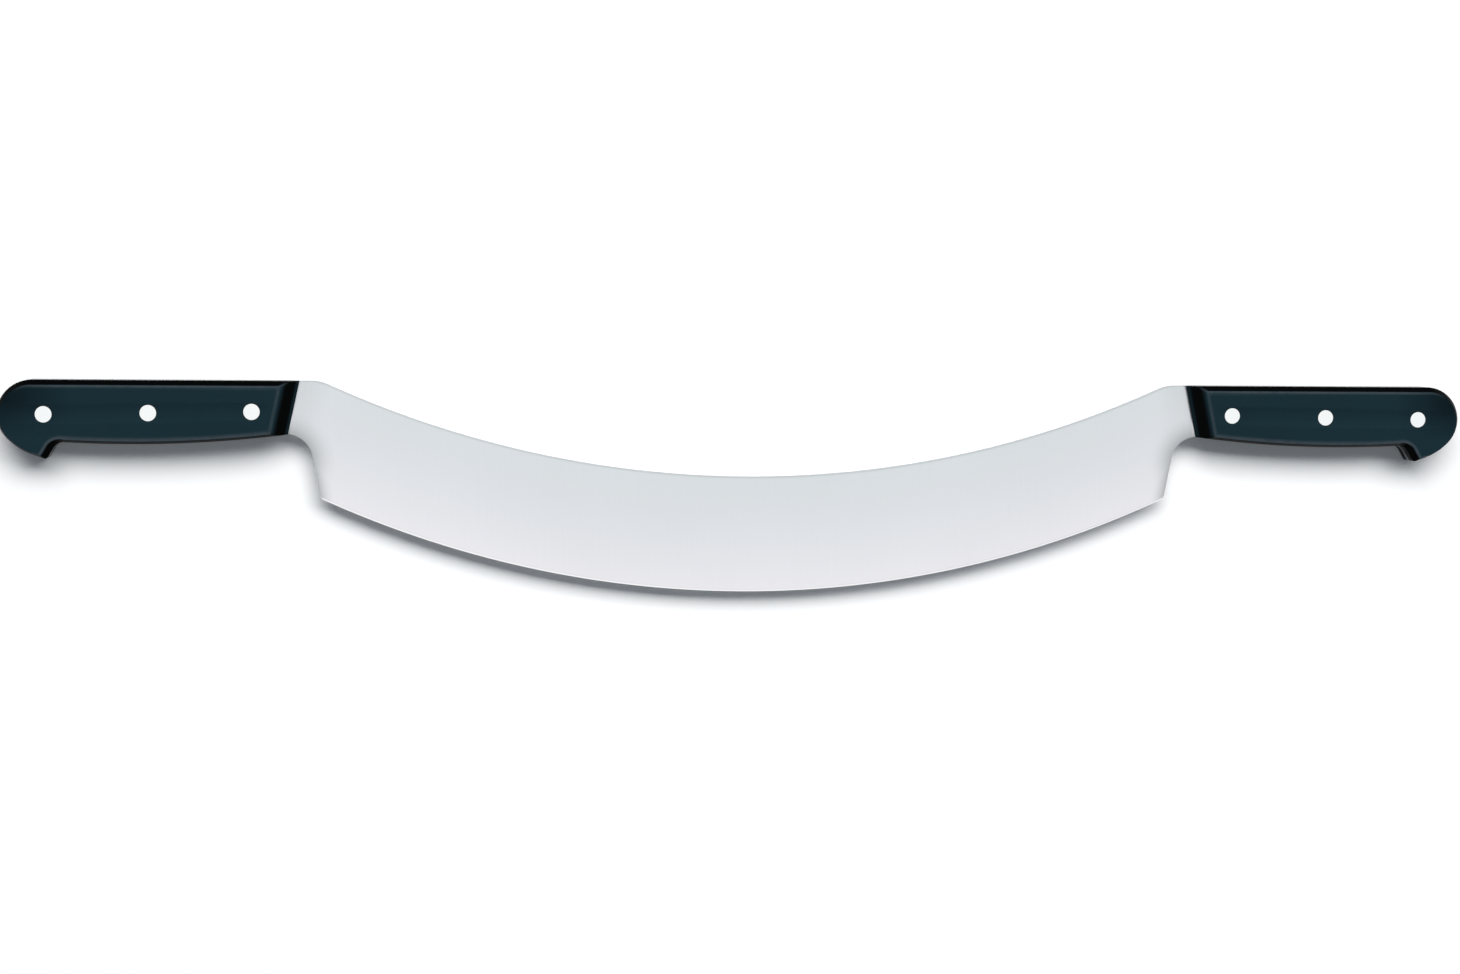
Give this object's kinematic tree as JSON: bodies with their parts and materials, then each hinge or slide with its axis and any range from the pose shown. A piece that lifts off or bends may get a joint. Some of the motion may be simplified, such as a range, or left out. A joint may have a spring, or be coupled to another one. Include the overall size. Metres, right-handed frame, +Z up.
{
  "type": "two-handled cheese knife",
  "caption": "Crescent-bladed cheese knife with a riveted, beak-ended plastic handle at each end, pressed down with both hands to cut through whole cheeses.",
  "frame": {"origin": "on the surface that the knife lies on, under the middle of its outline", "axes": "+X along the knife's length, +Y from the cutting edge to the spine, +Z up, out of the front face of the blade"},
  "size_m": [0.6574, 0.0936, 0.015],
  "materials": {
    "blade_steel": "fine satin, polished along the edge",
    "handle_plastic": "satin dark slate face, polished bevels",
    "rivet_steel": "ground flush and polished"
  },
  "bodies": {
    "root": {"blade": "blade_steel", "left_front_scale": "handle_plastic", "left_back_scale": "handle_plastic", "left_neck_rivet_post": "rivet_steel", "left_neck_rivet_socket": "rivet_steel", "left_middle_rivet_post": "rivet_steel", "left_middle_rivet_socket": "rivet_steel", "left_butt_rivet_post": "rivet_steel", "left_butt_rivet_socket": "rivet_steel", "right_front_scale": "handle_plastic", "right_back_scale": "handle_plastic", "right_neck_rivet_post": "rivet_steel", "right_neck_rivet_socket": "rivet_steel", "right_middle_rivet_post": "rivet_steel", "right_middle_rivet_socket": "rivet_steel", "right_butt_rivet_post": "rivet_steel", "right_butt_rivet_socket": "rivet_steel"}
  },
  "joints": []
}
